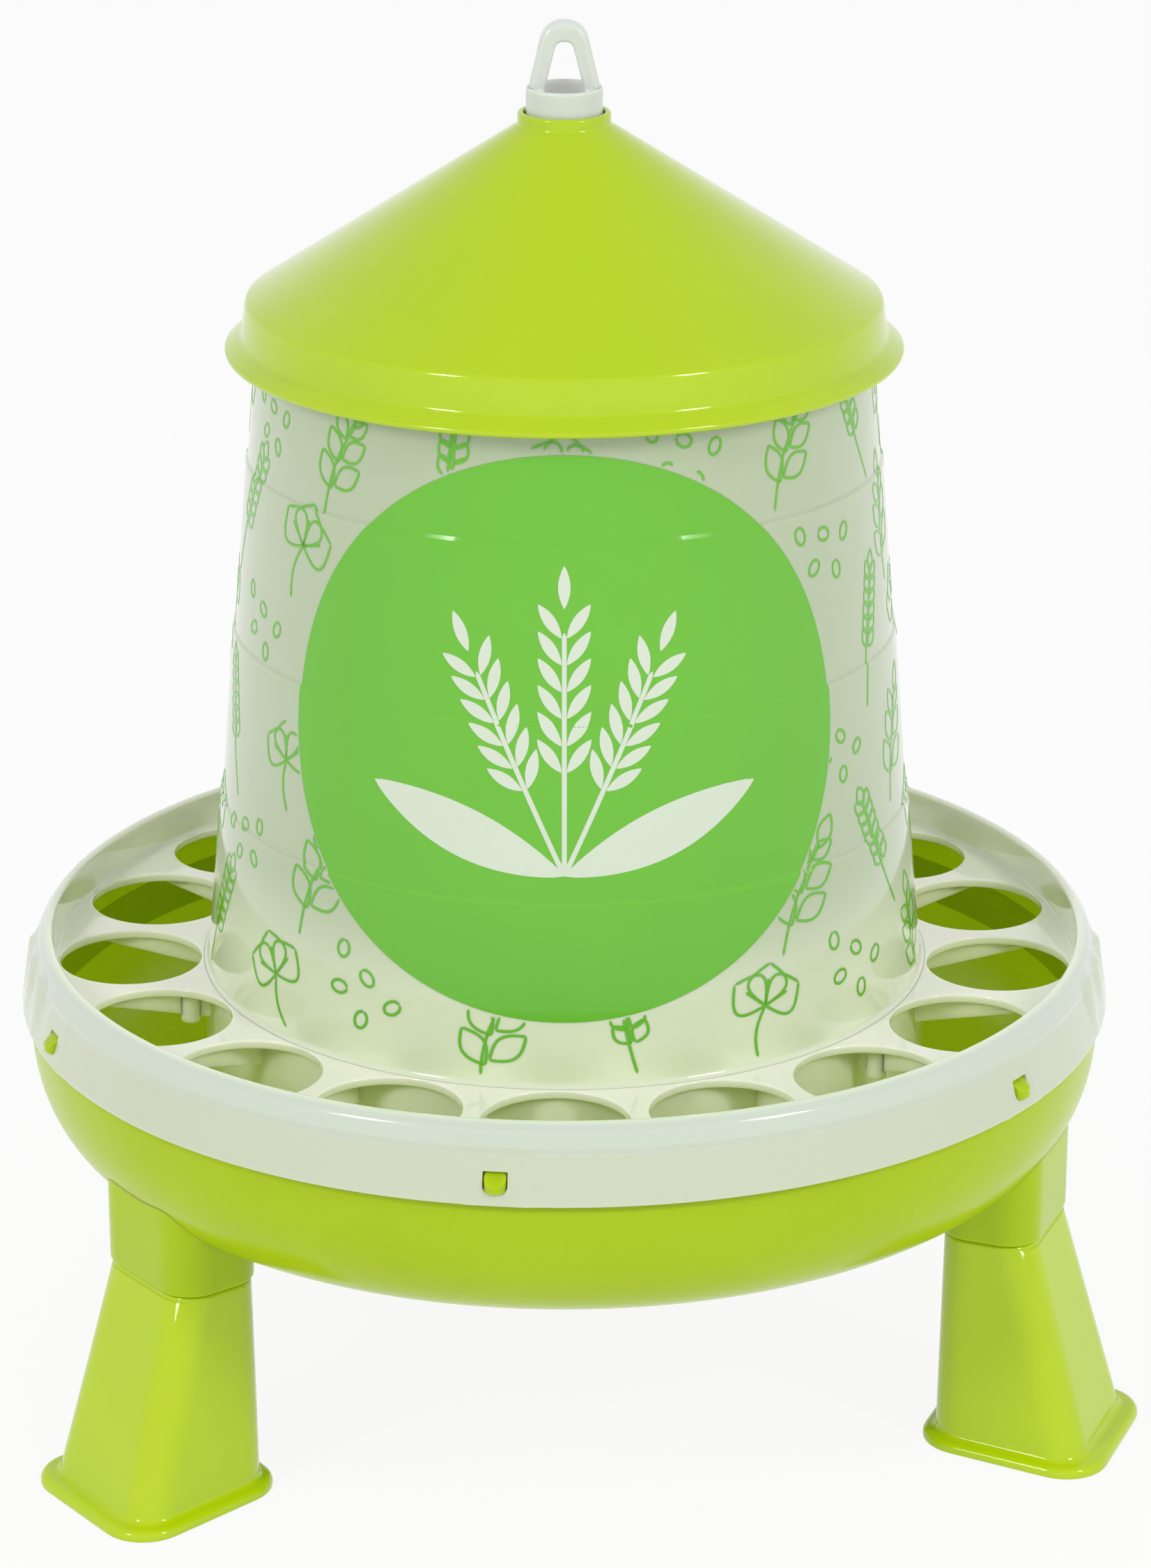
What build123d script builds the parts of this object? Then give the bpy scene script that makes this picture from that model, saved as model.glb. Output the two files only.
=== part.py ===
from build123d import *
import math
import os

# Standing poultry feeder. Millimetres, +Z up, floor at z = 0, hopper axis on z.
# Azimuths are measured round the axis from the front (-Y), positive towards +X.

# Shared sizes
WALL = 2.0                # hopper, guard and lid
TRAY_WALL = 2.2           # tray, sockets and legs
FIT = 0.3                 # clearance wherever one piece seats on another
OVERRUN = 8.0             # how far a cutting shape runs past what it cuts

# Hopper wall, in four sections that widen downwards
TOP_R = 102.0             # outer radius at the rim
HOPPER_H = 233.0          # rim above the perforated panel
STEP_UP = (179.7, 121.0, 61.7)
STEP = 0.75               # how far each section stands out below the one above
DRAFT = 0.083             # radius gained per mm of drop
BASE_FLARE = 0.5          # swell of the wall where it meets the panel
PANEL_T = 3.0
THROAT_DROP = 36.2        # the wall runs on below the panel, into the tray
THROAT_FLARE = 1.4

# Perforated panel, with the strips left between wall, holes and guard
HOLES = 17
HOLE_R = 24.5
HOLE_AZ = -1.1
INNER_STRIP = 2.4
OUTER_STRIP = 2.3
FIN_T = 1.8
FIN_DROP = 10.6           # depth of a divider below the panel, at the throat
PEG_R = 3.3
PEG_OUT = 8.8             # peg's axis from the hopper wall
PEG_LONG = 11.2
PEG_STEPS = (-4, 2, 8)    # dividers that carry a peg

# Raised guard round the panel, with a bead on top and a flared skirt
GUARD_H = 12.8
GUARD_W = 6.5
SKIRT_H = 17.7
SKIRT_DROP = 12.9         # skirt's lower edge below the panel's top face
SKIRT_FLARE = 4.8
GRIP_LOBES = 5
GRIP_PITCH = 5.6          # degrees between finger lobes
GRIP_OUT = 0.8            # how far a lobe stands out at the skirt's lower edge

# Snap tabs on the tray, in windows of the skirt
TABS = 6
TAB_AZ = -6.7
TAB_R = 3.1
TAB_PROUD = 2.9           # nose beyond the skirt
TAB_H = 5.6
WINDOW_W = 8.0
WINDOW_H = 7.0
WINDOW_UP = 3.9           # window's lower edge above the skirt's
WINDOW_CORNER_R = 2.5

# Lid
CONE_H = 58.5
COLLAR_H = 4.1
COLLAR_GAP = 0.8          # between the collar and the hanger's tube
LID_GAP = 2.6             # between the lid's skirt and the hopper's rim
LID_SKIRT_H = 11.3
LID_SKIRT_FLARE = 1.3
BRIM_W = 5.5
BRIM_H = 5.5

# Hanger
TUBE_R = 12.7
TUBE_WALL = 2.0
TUBE_RISE = 8.1           # tube's rim above the collar
CUP_DEEP = 19.9
EYE_H = 21.8              # eye above the tube's rim
EYE_TOP_R = 7.1
EYE_T = 8.0
EYE_STRAP = 7.2
EYE_KNEE_R = 8.0          # bend where the eye's straps lean in
EYE_IN_R = 3.0
EYE_IN_TOP = 2.4          # half width of the eye's opening at its top
STRAP_IN = 4.0            # how far each strap stands into the cup
ARM_DROP = 7.6            # crosspiece below the hopper's rim
ARM_GAP = 1.0
ARM_W = 12.0
ARM_H = 15.0
ARM_T = 3.0
LUG_W = 20.0
LUG_OUT = 10.0
LUG_T = 4.0

# Tray: a bowl whose corner is a superellipse, with a cone in the middle
RIM_GAP = 0.6             # between the tray's rim and the skirt around it
RIM_UNDER = 1.2           # rim below the panel's top face
BOWL_SET_IN = 3.0         # bowl inside the skirt's lower edge
BOWL_EDGE_DROP = 16.0     # bowl's edge below the panel's top face
BOWL_CORNER = 47.1
BOWL_DEEP = 48.6
BOWL_POWER = 2.49
SPREADER_R = 92.0
SPREADER_TOP_R = 12.0
SPREADER_H = 32.2

# Legs and their sockets
LEG_AZ = (-52.0, 68.0, 188.0)
SOCKET_IN = 6.0           # socket's outer face inside the bowl's edge
SOCKET_DEEP = 34.7
SOCKET_W = 51.2
SOCKET_DROP = 10.5        # socket's lower edge below the bowl's floor
SOCKET_CORNER_R = 12.0
SHOULDER = 1.0            # step from socket to leg
LEG_H = 78.8
LEG_OUT = 22.3            # how far the leg's outer face runs out on its way down
LEG_WIDEN = 5.6           # how much wider that face gets on either side
FOOT_OUT = 6.2            # foot flange beyond the leg's outer face
FOOT_IN = 4.4
FOOT_SIDE = (3.6, 5.6)    # beyond its sides, at the inner and the outer end
FOOT_CORNER_R = 15.6
FOOT_T = 3.6
FOOT_EDGE_R = 1.6
SPIGOT_H = 10.0


# Heights that follow, from the floor up
SOCKET_Z = LEG_H + FIT
BOWL_Z = SOCKET_Z + SOCKET_DROP
BOWL_EDGE_Z = BOWL_Z + BOWL_DEEP
PANEL_Z = BOWL_EDGE_Z + BOWL_EDGE_DROP
RIM_Z = PANEL_Z + HOPPER_H
STEP_Z = [PANEL_Z + up for up in STEP_UP]
THROAT_Z = PANEL_Z - THROAT_DROP
SKIRT_Z = PANEL_Z - SKIRT_DROP
WINDOW_Z = SKIRT_Z + WINDOW_UP
TAB_Z = WINDOW_Z + (WINDOW_H - TAB_H) / 2
RIM_TOP_Z = PANEL_Z - RIM_UNDER
CONE_TOP_Z = RIM_Z + CONE_H
COLLAR_Z = CONE_TOP_Z + COLLAR_H
TUBE_RIM_Z = COLLAR_Z + TUBE_RISE
CUP_Z = TUBE_RIM_Z - CUP_DEEP
ARM_Z = RIM_Z - ARM_DROP


def wall_r(z):
    """Outer radius of the hopper wall at a height."""
    steps = sum(1 for height in STEP_Z if z <= height)
    return TOP_R + DRAFT * (RIM_Z - z) + STEP * steps


# Radii that follow, from the wall outwards
BASE_R = wall_r(PANEL_Z) + BASE_FLARE
HOLE_RING_R = BASE_R + INNER_STRIP + HOLE_R
GUARD_IN_R = HOLE_RING_R + HOLE_R + OUTER_STRIP
SKIRT_R = GUARD_IN_R + GUARD_W + SKIRT_FLARE
SKIRT_LEAN = SKIRT_FLARE / SKIRT_H
CONE_R = TOP_R + LID_GAP + WALL
COLLAR_R = TUBE_R + COLLAR_GAP + WALL
BOWL_R = SKIRT_R - BOWL_SET_IN
SOCKET_OUT_R = BOWL_R - SOCKET_IN


def skirt_r(z):
    """Outer radius of the guard's skirt at a height."""
    return SKIRT_R - SKIRT_LEAN * (z - SKIRT_Z)


def rounded(points):
    """Closed outline in the r-z plane from (r, z, corner radius) points."""
    edges, ends = [], []
    n = len(points)
    for i in range(n):
        here = Vector(points[i][0], points[i][1])
        back = (Vector(points[i - 1][0], points[i - 1][1]) - here)
        on = (Vector(points[(i + 1) % n][0], points[(i + 1) % n][1]) - here)
        back, on, radius = back.normalized(), on.normalized(), points[i][2]
        if not radius:
            ends.append((here, here))
            continue
        half = math.radians(back.get_angle(on)) / 2
        run = radius / math.tan(half)
        centre = here + (back + on).normalized() * (radius / math.sin(half))
        mid = centre + (here - centre).normalized() * radius
        ends.append((here + back * run, here + on * run))
        edges.append(ThreePointArc(ends[-1][0], mid, ends[-1][1]))
    for i in range(n):
        start, stop = ends[i][1], ends[(i + 1) % n][0]
        if (stop - start).length > 1e-4:
            edges.append(Line(start, stop))
    return make_face(edges)


def turned(face):
    """Solid of revolution of an r-z outline about the hopper axis."""
    return revolve(Plane.XZ * face, Axis.Z)


def at(azimuth):
    """Frame whose +X runs outwards at an azimuth."""
    return Rot(0, 0, azimuth - 90)


def round_bar(x, radius, low, high):
    """Upright cylinder with its axis at x."""
    bar = Cylinder(radius, high - low, align=(Align.CENTER, Align.CENTER, Align.MIN))
    return Pos(x, 0, low) * bar


def wall_line(inset):
    """Corners of the stepped wall from the rim down to the last step, moved in by inset."""
    edge = 0.4
    corners = [(TOP_R - inset, RIM_Z, 0)]
    for z in STEP_Z:
        corners += [(wall_r(z + edge) - inset, z + edge, 0), (wall_r(z - edge) - inset, z - edge, 0)]
    return corners


def guarded_hopper():
    throat_r = BASE_R + 1.0
    ledge_z = PANEL_Z - PANEL_T
    top_z = PANEL_Z + GUARD_H
    ring = [
        (BASE_R, PANEL_Z, 2.0),
        (GUARD_IN_R - 1.9, PANEL_Z, 0),
        (GUARD_IN_R, top_z, 1.8),
        (skirt_r(top_z - 3.0), top_z - 0.6, 4.4),
        (SKIRT_R, SKIRT_Z, 0),
        (SKIRT_R - WALL, SKIRT_Z, 0),
        (skirt_r(top_z - 4.0) - WALL, top_z - 2.4, 0),
        (GUARD_IN_R + WALL, top_z - 2.0, 0),
        (GUARD_IN_R + WALL - 2.6, ledge_z, 0),
        (throat_r, ledge_z, 0),
        (throat_r + THROAT_FLARE, THROAT_Z, 0),
        (throat_r + THROAT_FLARE - WALL, THROAT_Z, 0),
        (BASE_R - WALL, PANEL_Z, 0),
    ]
    body = turned(rounded(wall_line(0) + ring + wall_line(WALL)[::-1]))
    pitch = 360 / HOLES
    for k in range(HOLES):
        body += at(HOLE_AZ + (k + 0.5) * pitch) * divider(throat_r)
    for k in PEG_STEPS:
        peg = round_bar(BASE_R + PEG_OUT, PEG_R, ledge_z - PEG_LONG, PANEL_Z - 1)
        body += at(HOLE_AZ + (k + 0.5) * pitch) * peg
    for side in (-90, 90):
        for k in range(GRIP_LOBES):
            body += at(side + (k - (GRIP_LOBES - 1) / 2) * GRIP_PITCH) * grip_lobe() - skirt_core()
    for k in range(HOLES):
        hole = round_bar(HOLE_RING_R, HOLE_R, PANEL_Z - 2 * PANEL_T, PANEL_Z + GUARD_H)
        body -= at(HOLE_AZ + k * pitch) * hole
    for k in range(TABS):
        body -= at(TAB_AZ + k * 360 / TABS) * window()
    for side in (-90, 90):
        body += at(side) * lugs()
    return body


def divider(throat_r):
    """Upright plate under the panel, between two holes, deepest at the throat."""
    start, stop, high = throat_r - 0.5, GUARD_IN_R - 4, PANEL_Z - 1
    fin = make_face(Polyline(
        (start, high), (stop, high), (stop, PANEL_Z - PANEL_T - 0.2),
        (start, PANEL_Z - PANEL_T - FIN_DROP), close=True,
    ))
    return extrude(Plane.XZ * fin, FIN_T / 2, both=True)


def grip_lobe():
    """One finger lobe on the guard's skirt: a barrel leaning with the skirt."""
    tall = SKIRT_H + 1.4
    width = math.radians(GRIP_PITCH) * SKIRT_R / 2
    lobe = Pos(0, 0, -1.0) * Cone(width, width * 0.8, tall, align=(Align.CENTER, Align.CENTER, Align.MIN))
    lobe = fillet(lobe.edges().sort_by(Axis.Z)[-1], width * 0.6)
    lean = math.degrees(math.atan(SKIRT_FLARE / tall)) * 0.55
    return Pos(SKIRT_R - width + GRIP_OUT, 0, SKIRT_Z + 2.8) * Rot(0, -lean, 0) * lobe


def skirt_core():
    """Everything inside the middle of the skirt's wall."""
    top_z = PANEL_Z + GUARD_H
    low_r, top_r = SKIRT_R - WALL / 2, SKIRT_R - SKIRT_FLARE - WALL / 2
    return turned(make_face(Polyline(
        (0, SKIRT_Z - OVERRUN), (low_r, SKIRT_Z - OVERRUN), (low_r, SKIRT_Z), (top_r, SKIRT_Z + SKIRT_H),
        (top_r, top_z), (0, top_z), close=True,
    )))


def window():
    """Opening in the skirt for one snap tab, with round lower corners."""
    low, top, half = WINDOW_Z, WINDOW_Z + WINDOW_H, WINDOW_W / 2
    edge = rounded([
        (-half, top, 0), (half, top, 0), (half, low, WINDOW_CORNER_R), (-half, low, WINDOW_CORNER_R),
    ])
    return Pos(SKIRT_R - OVERRUN, 0, 0) * extrude(Plane.YZ * edge, 2 * OVERRUN)


def lugs():
    """Upper and lower ledge in the hopper mouth that hold one end of the hanger's crosspiece."""
    top, low = ARM_Z + FIT, ARM_Z - ARM_H - FIT
    upper = Pos(wall_r(top) - WALL / 2, 0, top) * Box(
        LUG_OUT, LUG_W, LUG_T, align=(Align.MAX, Align.CENTER, Align.MIN))
    lower = Pos(wall_r(low) - WALL / 2, 0, low) * Box(
        LUG_OUT, LUG_W, LUG_T, align=(Align.MAX, Align.CENTER, Align.MAX))
    return upper + lower


def lid():
    """Cone with a collar, a skirt round the hopper's rim and a flared brim, all of one wall."""
    slope = CONE_H / (CONE_R - COLLAR_R)
    drop = WALL * math.hypot(1, slope)
    bore_r = COLLAR_R - WALL
    skirt_out, skirt_z = CONE_R + LID_SKIRT_FLARE, RIM_Z - LID_SKIRT_H
    brim_out, brim_z = skirt_out + BRIM_W, skirt_z - BRIM_H
    return turned(rounded([
        (bore_r, COLLAR_Z, 0),
        (COLLAR_R, COLLAR_Z, 0),
        (COLLAR_R, CONE_TOP_Z, 0),
        (CONE_R - 0.4, RIM_Z + 0.4 * slope, 3.0),
        (skirt_out, skirt_z, 2.0),
        (brim_out, brim_z + 1.2, 0),
        (brim_out - 0.6, brim_z - 0.8, 0),
        (skirt_out - WALL, skirt_z - 1.6, 0),
        (CONE_R - WALL, RIM_Z + slope * WALL - drop, 1.2),
        (bore_r, CONE_TOP_Z + slope * WALL - drop, 0),
    ]))


def hanger():
    """Tube through the lid's collar, carrying eye above it and crosspiece in the hopper mouth."""
    foot_z = ARM_Z - TUBE_WALL
    bore_r = TUBE_R - TUBE_WALL
    outside, inside = eye_outline()
    body = round_bar(0, TUBE_R, foot_z, TUBE_RIM_Z)
    body += extrude(Plane.XZ * outside, EYE_T / 2, both=True)
    body -= extrude(Plane.XZ * inside, EYE_T, both=True)
    body -= round_bar(0, bore_r, CUP_Z, TUBE_RIM_Z) - strap_foot(bore_r)
    body -= round_bar(0, bore_r, foot_z - OVERRUN, CUP_Z - TUBE_WALL)
    high = (Align.CENTER, Align.CENTER, Align.MAX)
    arm = 2 * (wall_r(ARM_Z) - WALL - ARM_GAP)
    flange = Pos(0, 0, ARM_Z) * Box(arm, ARM_W, ARM_T, align=high)
    web = Pos(0, 0, ARM_Z - ARM_T / 2) * Box(arm, ARM_T, ARM_H - ARM_T / 2, align=high)
    return body + flange + web


def strap_foot(bore_r):
    """The part of the cup that the eye's two straps fill."""
    strap = Box(bore_r, EYE_T, CUP_DEEP, align=(Align.MIN, Align.CENTER, Align.MIN))
    reach = bore_r - STRAP_IN
    return Pos(reach, 0, CUP_Z) * strap + Pos(-reach, 0, CUP_Z) * (Rot(0, 0, 180) * strap)


def eye_outline():
    """Outer and inner outline of the A-shaped hanging eye."""
    top, low = TUBE_RIM_Z + EYE_H, TUBE_RIM_Z - OVERRUN
    half_low, half_top = TUBE_R - 0.6, EYE_TOP_R - 0.6
    outside = rounded([
        (-half_low, low, 0), (half_low, low, 0), (half_low, TUBE_RIM_Z - 1.5, EYE_KNEE_R),
        (half_top, top, EYE_TOP_R * 0.72), (-half_top, top, EYE_TOP_R * 0.72),
        (-half_low, TUBE_RIM_Z - 1.5, EYE_KNEE_R),
    ])
    in_top, in_half = top - EYE_STRAP, TUBE_R - TUBE_WALL - STRAP_IN - 0.1
    inside = rounded([
        (-in_half, CUP_Z, 0), (in_half, CUP_Z, 0), (in_half, TUBE_RIM_Z - 1.0, EYE_IN_R),
        (EYE_IN_TOP, in_top, 2.0), (-EYE_IN_TOP, in_top, 2.0), (-in_half, TUBE_RIM_Z - 1.0, EYE_IN_R),
    ])
    return outside, inside


def bowl(shrink):
    """Solid bowl, its surface set in by shrink from the tray's outside."""
    flat_r = BOWL_R - BOWL_CORNER
    across, down = BOWL_CORNER - shrink, BOWL_DEEP - shrink
    curve = []
    for i in range(11):
        t = i * math.pi / 20
        curve.append((
            flat_r + across * math.cos(t) ** (2 / BOWL_POWER),
            BOWL_EDGE_Z - down * math.sin(t) ** (2 / BOWL_POWER),
        ))
    rim_r = skirt_r(RIM_TOP_Z) - WALL - RIM_GAP - shrink
    face = make_face([
        Line((0, curve[-1][1]), (0, RIM_TOP_Z)),
        Line((0, RIM_TOP_Z), (rim_r, RIM_TOP_Z)),
        Line((rim_r, RIM_TOP_Z), curve[0]),
        Spline(*curve, tangents=[(0, -1), (-1, 0)]),
        Line(curve[-1], (0, curve[-1][1])),
    ])
    return turned(face)


def spreader(base_z):
    """Solid cone in the middle of the tray that sends feed outwards."""
    top_z = base_z + SPREADER_H
    return turned(rounded([
        (0, base_z, 0), (SPREADER_R, base_z, 0), (SPREADER_TOP_R, top_z, 8.0), (0, top_z, 0),
    ]))


def socket_section(z, grow=0.0):
    """Rounded rectangle of a socket, lying on the +X side at height z."""
    half = SOCKET_W / 2
    return section((SOCKET_OUT_R - SOCKET_DEEP, SOCKET_OUT_R, half, half, SOCKET_CORNER_R), z, grow)


def section(size, z, grow=0.0):
    """Rounded trapezoid from (inner radius, outer radius, half width in, half width out, corner)."""
    r_in, r_out, w_in, w_out, corner = size
    r_in, r_out, w_in, w_out = r_in - grow, r_out + grow, w_in + grow, w_out + grow
    corners = [(r_in, -w_in), (r_out, -w_out), (r_out, w_out), (r_in, w_in)]
    face = rounded([(x, y, corner + grow) for x, y in corners])
    return Pos(0, 0, z) * face


def tray():
    outside, inside = bowl(0), bowl(TRAY_WALL)
    body = outside - inside + spreader(BOWL_Z + TRAY_WALL) - spreader(BOWL_Z)
    for azimuth in LEG_AZ:
        tall = BOWL_EDGE_Z - SOCKET_Z
        shell = extrude(socket_section(SOCKET_Z), tall) - extrude(socket_section(SOCKET_Z, -TRAY_WALL), tall)
        body += at(azimuth) * shell - outside
    for k in range(TABS):
        body += at(TAB_AZ + k * 360 / TABS) * tab()
    return body


def tab():
    """Snap tab: a half-round nose with its top sloped for the skirt to slide over."""
    low, top = TAB_Z, TAB_Z + TAB_H
    root_r = skirt_r(RIM_TOP_Z) - WALL - RIM_GAP - TRAY_WALL / 2
    out_r = skirt_r((low + top) / 2) + TAB_PROUD
    nose = round_bar(out_r - TAB_R, TAB_R, low, top)
    nose += Pos(root_r, 0, low) * Box(
        out_r - TAB_R - root_r, 2 * TAB_R, TAB_H, align=(Align.MIN, Align.CENTER, Align.MIN))
    slope = make_face(Polyline(
        (root_r + 3.0, top + 1), (root_r + 3.0, top), (out_r + 1, low + 3.0), (out_r + 1, top + 1),
        close=True,
    ))
    return nose - extrude(Plane.XZ * slope, 10, both=True)


def leg_size(z):
    """Sizes of the leg's section at a height: its outer face runs out and widens on the way down."""
    share = 1 - z / LEG_H
    r_out = SOCKET_OUT_R - SHOULDER + LEG_OUT * share
    r_in = SOCKET_OUT_R - SOCKET_DEEP + SHOULDER * (1 - share)
    half = SOCKET_W / 2 - SHOULDER
    return r_in, r_out, half, half + LEG_WIDEN * share, SOCKET_CORNER_R - SHOULDER


def leg():
    """Hollow leg on the +X side, open underneath, with a spigot for the tray's socket."""
    r_in, r_out, half_in, half_out, _ = leg_size(0)
    foot = (r_in - FOOT_IN, r_out + FOOT_OUT, half_in + FOOT_SIDE[0], half_out + FOOT_SIDE[1], FOOT_CORNER_R)
    plate = extrude(section(foot, 0), FOOT_T)
    body = fillet(plate.faces().sort_by(Axis.Z)[-1].edges(), FOOT_EDGE_R)
    body += loft([section(leg_size(FOOT_T / 2), FOOT_T / 2), section(leg_size(LEG_H), LEG_H)])
    body += extrude(socket_section(LEG_H - SHOULDER, -TRAY_WALL - FIT), SPIGOT_H + SHOULDER)
    ceiling = LEG_H - TRAY_WALL
    hollow = loft([
        section(leg_size(0), 0, -TRAY_WALL),
        section(leg_size(ceiling), ceiling, -TRAY_WALL - 1.5),
    ])
    return body - hollow


def export(name, solid):
    export_step(solid, os.path.join("parts", name + ".step"))


os.makedirs("parts", exist_ok=True)
export("hanger", hanger())
export("lid", lid())
export("guarded_hopper", guarded_hopper())
export("feed_tray", tray())
for name, azimuth in zip(("leg_left", "leg_right", "leg_back"), LEG_AZ):
    export(name, at(azimuth) * leg())
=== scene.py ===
# %% [markdown]
# A standing poultry feeder
#
# The real thing is a set of injection mouldings: a green lid, a milky hopper in one with the guard that
# birds feed through, a green tray, three hollow legs and a white hanger. The measured model gives the sizes,
# but gloss would show the flat facets of its meshes. So each moulding is made again as a smooth surface.

# %% Load the measured model
import math

import bmesh
import bpy
import numpy as np
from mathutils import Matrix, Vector


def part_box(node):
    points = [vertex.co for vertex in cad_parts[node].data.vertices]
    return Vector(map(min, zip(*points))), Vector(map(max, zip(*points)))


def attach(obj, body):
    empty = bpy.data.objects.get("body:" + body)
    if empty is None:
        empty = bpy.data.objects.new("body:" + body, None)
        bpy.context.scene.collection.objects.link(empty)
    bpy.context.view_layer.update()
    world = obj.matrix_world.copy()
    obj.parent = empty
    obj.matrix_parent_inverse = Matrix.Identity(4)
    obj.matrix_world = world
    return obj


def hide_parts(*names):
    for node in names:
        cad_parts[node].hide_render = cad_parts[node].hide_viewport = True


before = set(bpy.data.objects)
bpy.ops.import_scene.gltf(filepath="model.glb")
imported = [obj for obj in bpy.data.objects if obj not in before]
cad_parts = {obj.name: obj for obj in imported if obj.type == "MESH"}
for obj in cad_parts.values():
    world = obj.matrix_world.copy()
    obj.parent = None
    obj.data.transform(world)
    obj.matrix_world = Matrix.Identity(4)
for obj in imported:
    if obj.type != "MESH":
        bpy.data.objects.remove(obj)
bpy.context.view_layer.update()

# %% [markdown]
# Sizes
#
# Heights and outer radii come from the measured model's boxes. What a box can't tell, such as the place of
# a step, is a named value. Everything is in millimetres until a mesh is filled.

# %% Read the sizes of the mouldings
MM = 0.001


def node_box(node):
    """Lowest and highest corner of a measured node, in millimetres."""
    low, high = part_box(node)
    return np.array(low) / MM, np.array(high) / MM


WALL = 2.0
TRAY_WALL = 2.2
FIT = 0.3
(_, _, THROAT_Z), (_, SKIRT_R, HOPPER_RIM_Z) = node_box("guarded_hopper")
(_, _, BRIM_Z), (BRIM_R, _, COLLAR_Z) = node_box("lid")
(_, _, SOCKET_Z), (_, _, TRAY_RIM_Z) = node_box("feed_tray")
_, (_, _, EYE_Z) = node_box("hanger")
_, (_, _, SPIGOT_Z) = node_box("leg_left")
print("skirt radius", round(SKIRT_R, 1), "brim radius", round(BRIM_R, 1), "eye height", round(EYE_Z, 1))

# %% [markdown]
# Camera
#
# A long lens looks down by twenty degrees from far back. A small shift puts the feeder left of the middle
# without turning the camera.

# %% Place the camera
IMAGE_HIGH = 2251
SENSOR = 36.0
FOCAL_PIXELS = 6880.3
AXIS_LEFT_PIXELS = 16.05
CAMERA_FAR = 1656.2
CAMERA_TILT = math.radians(20.11)
LOOK_AT_Z = 214.1


def add_object(name, data):
    """Puts a mesh, a lamp or a camera into the scene."""
    item = bpy.data.objects.new(name, data)
    bpy.context.scene.collection.objects.link(item)
    return item


camera_data = bpy.data.cameras.new("camera")
camera_data.sensor_width = SENSOR
camera_data.lens = FOCAL_PIXELS / IMAGE_HIGH * SENSOR
camera_data.shift_x = AXIS_LEFT_PIXELS / IMAGE_HIGH
camera = add_object("camera", camera_data)
camera.location = (
    0,
    -CAMERA_FAR * math.cos(CAMERA_TILT) * MM,
    (LOOK_AT_Z + CAMERA_FAR * math.sin(CAMERA_TILT)) * MM,
)
camera.rotation_euler = (math.pi / 2 - CAMERA_TILT, 0, 0)
bpy.context.scene.camera = camera
print("lens", round(camera_data.lens, 1), "mm")

# %% [markdown]
# Outlines
#
# A moulding is mostly one outline turned about an axis, with few corners, each with a radius. The helper
# makes every corner an arc, and holding points beside the arcs keep long flats flat under smooth shading.

# %% Turn a list of corners into an outline
HOLD = 0.5


def rounded(corners, closed=True, steps=6, hold=True):
    """Points along an outline of (x, y, radius) corners.

    An arc's centre lies on the corner's bisector, radius / sin(half angle) away, and the arc runs between
    the points where it touches the sides.
    """
    corners = np.array(corners, float)
    parts = []
    for i, (x, y, radius) in enumerate(corners):
        here = np.array((x, y))
        if radius == 0 or (not closed and i in (0, len(corners) - 1)):
            parts.append(here[None])
            continue
        back = corners[i - 1, :2] - here
        on = corners[(i + 1) % len(corners), :2] - here
        back, on = back / np.linalg.norm(back), on / np.linalg.norm(on)
        half = math.acos(np.clip(back @ on, -1, 1)) / 2
        middle = (back + on) / np.linalg.norm(back + on)
        centre = here + middle * radius / math.sin(half)
        run = radius / math.tan(half)
        start, stop = here + back * run - centre, here + on * run - centre
        first = math.atan2(start[1], start[0])
        sweep = (math.atan2(stop[1], stop[0]) - first + math.pi) % (2 * math.pi) - math.pi
        turn = first + sweep * np.linspace(0, 1, steps + 1)
        parts.append(centre + radius * np.stack([np.cos(turn), np.sin(turn)], 1))
    points = np.concatenate(parts)
    return held(points, closed) if hold else points


def held(points, closed):
    """Adds a point HOLD inside each end of every long straight run."""
    ends = np.roll(points, -1, 0) if closed else points[1:]
    out = []
    for start, stop in zip(points, ends):
        length = np.linalg.norm(stop - start)
        out.append(start)
        if length > 3 * HOLD:
            step = (stop - start) * HOLD / length
            out += [start + step, stop - step]
    if not closed:
        out.append(points[-1])
    return np.array(out)


def divided(points, longest):
    """Splits the runs of an open outline so that none is longer than longest."""
    lengths = np.linalg.norm(np.diff(points, axis=0), axis=1)
    counts = np.maximum(1, np.ceil(lengths / longest).astype(int))
    which = np.repeat(np.arange(len(counts)), counts)
    step = np.concatenate([np.arange(n) / n for n in counts])[:, None]
    split = points[which] * (1 - step) + points[which + 1] * step
    return np.concatenate([split, points[-1:]])


# %% [markdown]
# Surfaces
#
# Every shape is a grid of points: one direction runs along an outline, the other round an axis or along a
# path. Points that fall on each other, at a seam or a pole, are welded, so every moulding is a closed skin.

# %% Turn grids of points into a mesh
SHARP = math.radians(38)


def grid_faces(rows, columns, wrap_rows, wrap_columns, first):
    """Quads of a rows by columns grid whose first point has the index first."""
    i = np.arange(rows if wrap_rows else rows - 1)[:, None]
    j = np.arange(columns if wrap_columns else columns - 1)[None, :]
    below, right = (i + 1) % rows, (j + 1) % columns
    quads = np.stack([
        i * columns + j, below * columns + j, below * columns + right, i * columns + right,
    ], -1)
    return first + quads.reshape(-1, 4)


def weld(points, quads, near=1e-3):
    """Merges points closer than near. Sides that vanish turn quads into triangles."""
    cells = np.round(points / near).astype(np.int64)
    _, keep, same = np.unique(cells, axis=0, return_index=True, return_inverse=True)
    quads = same.ravel()[quads]
    gone = quads == np.roll(quads, -1, 1)
    lost = gone.sum(1)
    triangles = quads[lost == 1][~gone[lost == 1]].reshape(-1, 3)
    return points[keep], quads[lost == 0], triangles


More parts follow.
